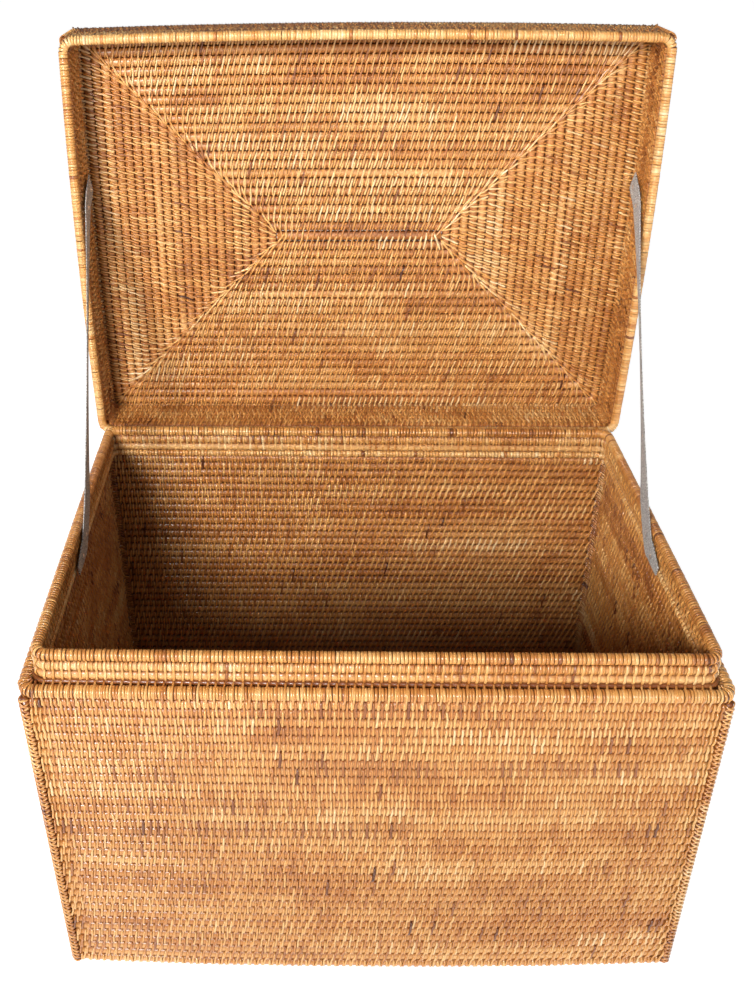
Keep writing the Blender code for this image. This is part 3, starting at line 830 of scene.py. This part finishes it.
def build_seam_rod():
    """The wound rod round the inside at the collar's foot, wound more widely on the right side."""
    weave = Weave(85)
    ring = Ring(HALF_X - COLLAR_CENTRE, HALF_Y - COLLAR_CENTRE, 0.012)
    # The rod and the side of each turn hidden under the collar carry painted shade.
    core_ring(weave, ring, SEAM_ROD_Z, 0.0040, 0.0040, bow_trunk, tone=0.62, depth=0.6)
    for start, stop, pitch, width in ((0.0, ring.right_side, 0.0045, 0.0044),
                                      (ring.right_side, ring.length, 0.0068, 0.0052)):
        places = np.arange(start + pitch / 2, stop, pitch)
        wrap_ring(weave, ring, SEAM_ROD_Z, 0.0040, pitch, bow_trunk, width, 0.0009, places=places,
                  hidden=math.radians(20))
    weave.piece("inner_seam_rod_winding", "trunk", "rattan_peel", ("inner_seam_rod",))


# ---------------------------------------------------------------- lid

def build_lid_top():
    half_x, half_y = SKIRT_OUT_X, SKIRT_OUT_Y
    rods = Weave(90)
    mitred_rods(rods, lambda points: bow_lid(points + Z * LID_TOP_MIDDLE), half_x, half_y)
    rods.piece("lid_top_rods", "lid", "rattan_weave", ("lid_top_panel",))
    for face, up in (("inner", -1), ("outer", 1)):
        sides = mitred_sides(half_x, half_y, LID_TOP_MIDDLE, up, bow_lid)
        for first, pair in enumerate(("front_back", "left_right")):
            weave = Weave(92 + up + 10 * first)
            mitred_face(weave, sides[first::2], half_y, LID_STITCH, 0.28)
            weave.piece(f"lid_top_{face}_stitches_{pair}", "lid", "rattan_weave")


def build_skirts():
    middle_x, middle_y = (SKIRT_OUT_X + SKIRT_IN_X) / 2, (SKIRT_OUT_Y + SKIRT_IN_Y) / 2
    half_x, half_y = SKIRT_OUT_X - 0.008, SKIRT_OUT_Y - 0.008
    for number, (name, place, along, half, zigzag) in enumerate((
            ("front", (0, -middle_y, SKIRT_LOW), X, half_x, 0.25),
            ("back", (0, middle_y, SKIRT_LOW), -X, half_x, 0.25),
            ("left", (-middle_x, 0, SKIRT_LOW), -Y, half_y, 0.55),
            ("right", (middle_x, 0, SKIRT_LOW), Y, half_y, 0.55))):
        weave = Weave(100 + number)
        panel = Panel(place, along, Z, bow_lid, number + 7)
        for row in range(SKIRT_ROWS):
            rod_row(weave, panel, half, (row + 0.5) * SKIRT_PITCH, SKIRT_PITCH, SKIRT_THICKNESS)
        for face in (panel, panel.back()):
            for row in range(1, SKIRT_ROWS):
                places = row_places(half - 0.003, LID_STITCH, row % 2)
                lean = np.full(len(places), zigzag * (1 if row % 2 else -1))
                tone = tones(weave.random, len(places), 0.50)
                stitch_row(weave, face, places, row * SKIRT_PITCH, lean, tone, STITCH_PLAIN,
                           SKIRT_PITCH)
            for middle in (0.5, SKIRT_ROWS - 0.5):
                places = row_places(half - 0.003, LID_STITCH, 0)
                tone = tones(weave.random, len(places), 0.50)
                stitch_row(weave, face, places, middle * SKIRT_PITCH, np.zeros(len(places)), tone,
                           SINGLE, SKIRT_PITCH)
        weave.piece(f"lid_{name}_skirt_weave", "lid", "rattan_weave", (f"lid_{name}_skirt",))


def build_lid_rim():
    weave = Weave(111)
    ring = Ring(LID_HALF_X - LID_RIM_RADIUS, LID_HALF_Y - LID_RIM_RADIUS, 0.014)
    core_ring(weave, ring, LID_RIM_Z, 0.0051, 0.0051, bow_lid)
    wrap_ring(weave, ring, LID_RIM_Z, 0.0053, 0.0036, bow_lid, 0.0040, 0.0006, 0.67, 0.035)
    weave.piece("lid_rim_winding", "lid", "rattan_peel", ("lid_rim",))


# ---------------------------------------------------------------- metal and webbing

def metal(name, colour, roughness):
    n = Nodes(name)
    place = n.add("TexCoord").outputs["Object"]
    brushed = n.noise(n.scaled(place, (900, 900, 90)), 1.0, 3.0, 0.6)
    spots = n.noise(place, 160.0, 3.0, 0.6)
    tone = n.ramp(spots, ((0.25, tuple(c * 0.72 for c in colour)), (0.7, colour)))
    gloss = n.math("ADD", roughness - 0.08, n.math("MULTIPLY", brushed, 0.20))
    bump = n.add("Bump", {"Height": brushed, "Strength": 0.12, "Distance": 0.0002})
    n.set(Base_Color=tone, Roughness=gloss, Metallic=1.0, Normal=bump.outputs[0])
    return n.material


def dress_nodes():
    zinc = metal("zinc_plated_steel", (0.62, 0.61, 0.58), 0.36)
    bright = metal("bright_plated_screw", (0.90, 0.88, 0.85), 0.45)
    for name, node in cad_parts.items():
        if name.startswith("hinge_"):
            node.data.materials.clear()
            node.data.materials.append(zinc)
        elif "_screw_" in name:
            node.data.materials.clear()
            node.data.materials.append(bright)


def webbing_look():
    n = Nodes("grey_webbing_weave")
    grain = n.add("Attribute", attribute_name="grain").outputs["Vector"]
    twill = n.add("TexWave", {"Vector": n.scaled(grain, (150, 150, 0)), "Scale": 1.0,
                              "Distortion": 0.6, "Detail": 1.0}, bands_direction="DIAGONAL")
    picks = n.add("TexWave", {"Vector": n.scaled(grain, (230, 0, 0)), "Scale": 1.0},
                  bands_direction="X")
    fuzz = n.noise(n.scaled(grain, (700, 700, 1)), 1.0, 3.0, 0.7)
    level = n.math("ADD", n.math("MULTIPLY", twill.outputs["Fac"], 0.30),
                   n.math("MULTIPLY", picks.outputs["Fac"], 0.10))
    level = n.math("ADD", n.vary(level, fuzz, 1.8), 0.30)
    colour = n.ramp(level, ((0.20, (0.060, 0.055, 0.048)), (0.50, (0.34, 0.32, 0.295)),
                            (0.80, (0.78, 0.76, 0.72))))
    bump = n.add("Bump", {"Height": level, "Strength": 0.6, "Distance": 0.0006})
    n.set(Base_Color=colour, Roughness=0.85, Normal=bump.outputs[0], Sheen_Weight=0.2)
    return n.material


def smooth_route(points, count):
    """A Catmull-Rom curve through the points, at count places."""
    padded = [2 * points[0] - points[1]] + points + [2 * points[-1] - points[-2]]
    route = []
    for i in range(count):
        place = i / (count - 1) * (len(points) - 1)
        k = min(int(place), len(points) - 2)
        t = place - k
        a, b, c, d = padded[k:k + 4]
        route.append(0.5 * (2 * b + (c - a) * t + (2 * a - 5 * b + 4 * c - d) * t * t
                            + (3 * b - 3 * c + d - a) * t ** 3))
    return np.array(route)


STRAP_WIDTH = 0.032
STRAP_THICKNESS = 0.0016     # of the CAD strap; the webbing is a little thinner
WEBBING_THICKNESS = 0.0015
STRAP_MARKS = 97


def strap_section():
    """A flat band with slightly thinned edges, as shares of its width and thickness."""
    half = np.array((-0.5, -0.46, -0.3, -0.15, 0.0, 0.15, 0.3, 0.46, 0.5))
    upper = np.stack((half, np.where(np.abs(half) > 0.48, 0.0, 0.5)), -1)
    lower = np.stack((half[::-1][1:-1], np.full(7, -0.5)), -1)
    return np.concatenate((upper, lower))


def build_strap(side, sx, most_twist, look):
    """A taut strap from the collar to the lid's skirt; sx is -1 on the left and 1 on the right."""
    stand_off = GAP + STRAP_THICKNESS / 2
    low_x = sx * (HALF_X - NECK_INSET - 2 * NECK_RIM_RADIUS - stand_off)
    high_x = sx * (SKIRT_IN_X - stand_off)
    low_tip, low_screw, leaves_collar = (np.array((low_x, y, COLLAR_LOW + rise)) for y, rise in (
        (-0.052, -0.006), (-0.028, 0.005), (0.0, 0.019)))
    meets_lid, lid_screw, lid_tip = (
        turn_open(np.array((high_x, HALF_Y - inset, LID_LOW + rise))) for inset, rise in (
            (0.329, 0.026), (0.347, 0.052), (0.354, 0.062)))
    span = meets_lid - leaves_collar
    middle = [leaves_collar + span * step / 4 for step in (1, 2, 3)]
    points = [low_tip, low_screw, leaves_collar] + middle + [meets_lid, lid_screw, lid_tip]
    route = smooth_route(points, STRAP_MARKS)
    clear_z = NECK_TOP + 0.016               # above the neck rim it swings over to the lid
    rise = clamp((route[:, 2] - clear_z) / (meets_lid[2] - clear_z))
    route[:, 0] = low_x + (high_x - low_x) * rise

    twist = np.radians(most_twist) * (rise * (1 - rise) * 4) * sx
    ahead = unit(np.gradient(route, axis=0))
    flat_side = unit(np.cross(ahead, X))
    outward = np.cross(flat_side, ahead)
    direction = flat_side * np.cos(twist)[:, None] + outward * np.sin(twist)[:, None]
    # The lower end is trimmed in line with the seam rod.
    below = route[:, 2] - STRAP_WIDTH / 2 * np.abs(direction[:, 2])
    trim = clamp((SEAM_ROD_Z - below) / np.abs(direction[:, 2]), 0, 0.024)
    trim[STRAP_MARKS // 2:] = 0
    route = route + direction * np.sign(direction[:, 2:]) * trim[:, None] / 2

    weave = Weave(120 + sx)
    shape = (1, STRAP_MARKS)
    sizes = ((STRAP_WIDTH - trim)[None], np.full(shape, WEBBING_THICKNESS))
    weave.sweep(np.array, route[None], direction[None], strap_section(), sizes, 0,
                np.full(shape, 0.5), 1.0)
    strap = weave.piece(f"strap_{side}_webbing", "trunk", "grey_webbing",
                        (f"strap_{side}",), (look,))
    strap.parent = None
    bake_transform(strap)


def build_straps():
    look = webbing_look()
    build_strap("left", -1, 9, look)
    build_strap("right", 1, 14, look)


# ---------------------------------------------------------------- stage

def build_camera():
    """The photograph's viewing angle, fitted to the trunk's corners."""
    yaw, pitch, roll = 0.015745, -0.545581, 0.008500
    place = (-0.06825, -1.13323, 1.21149)
    image_height = 990
    focal_length, shift = 1084.6, 81.0       # in the same unit as the image's height
    data = bpy.data.cameras.new("camera")
    camera = bpy.data.objects.new("camera", data)
    bpy.context.scene.collection.objects.link(camera)
    turn = Matrix.Rotation(yaw, 3, "Z") @ Matrix.Rotation(pitch, 3, "X")
    right, ahead, up = (turn @ Matrix.Rotation(roll, 3, "Y")).col
    axes = Matrix((right, up, -ahead)).transposed()
    camera.matrix_world = Matrix.Translation(place) @ axes.to_4x4()
    data.sensor_fit = "AUTO"
    data.sensor_width = 36
    data.lens = focal_length * data.sensor_width / image_height
    data.shift_x = shift / image_height
    data.clip_start = 0.05
    data.clip_end = 60
    bpy.context.scene.camera = camera


def build_floor():
    """A pale floor that glows all round; the glow fades in front, to keep it off the front wall."""
    mesh = bpy.data.meshes.new("floor")
    size = 30.0
    corners = [(-size, -size, 0), (size, -size, 0), (size, size, 0), (-size, size, 0)]
    mesh.from_pydata(corners, [], [(0, 1, 2, 3)])
    floor = bpy.data.objects.new("floor", mesh)
    bpy.context.scene.collection.objects.link(floor)
    n = Nodes("pale_floor")
    place = n.add("TexCoord").outputs["Object"]
    away = n.add("VectorMath", {0: place, 1: (0, -0.95, 0)}, operation="DISTANCE").outputs["Value"]
    glow = n.add("MapRange", {"Value": away, "From Min": 0.35, "From Max": 0.85, "To Min": 0.10,
                              "To Max": 0.88}, interpolation_type="SMOOTHSTEP").outputs[0]
    n.set(Base_Color=(0.66, 0.66, 0.66, 1), Roughness=0.9, Emission_Color=(1, 1, 1, 1),
          Emission_Strength=glow)
    mesh.materials.append(n.material)


def build_lights():
    scene = bpy.context.scene
    scene.world = bpy.data.worlds.new("studio")
    scene.world.use_nodes = True
    background = scene.world.node_tree.nodes["Background"]
    background.inputs["Color"].default_value = (1, 0.99, 0.97, 1)
    background.inputs["Strength"].default_value = 0.19
    for name, place, target, size, power, spread in (
            ("key", (-0.98, -2.43, 1.73), (0, 0, 0.5), 0.75, 84, 180),
            ("lid_light", (-0.98, -2.43, 1.90), (0, 0.33, 0.80), 1.0, 1.95, 24),
            ("fill", (2.2, -1.8, 1.4), (0, 0, 0.4), 1.6, 7, 180)):
        light = bpy.data.lights.new(name, "AREA")
        light.size = size
        light.spread = math.radians(spread)
        light.energy = power
        lamp = bpy.data.objects.new(name, light)
        scene.collection.objects.link(lamp)
        lamp.location = place
        lamp.rotation_euler = (Vector(target) - Vector(place)).to_track_quat("-Z", "Y").to_euler()
    scene.view_settings.view_transform = "Standard"


build_walls()
build_base()
build_corners()
build_shoulder()
build_collar()
build_neck_rim()
build_seam_rod()
build_lid_top()
build_skirts()
build_lid_rim()
dress_nodes()
build_straps()
build_camera()
build_floor()
build_lights()
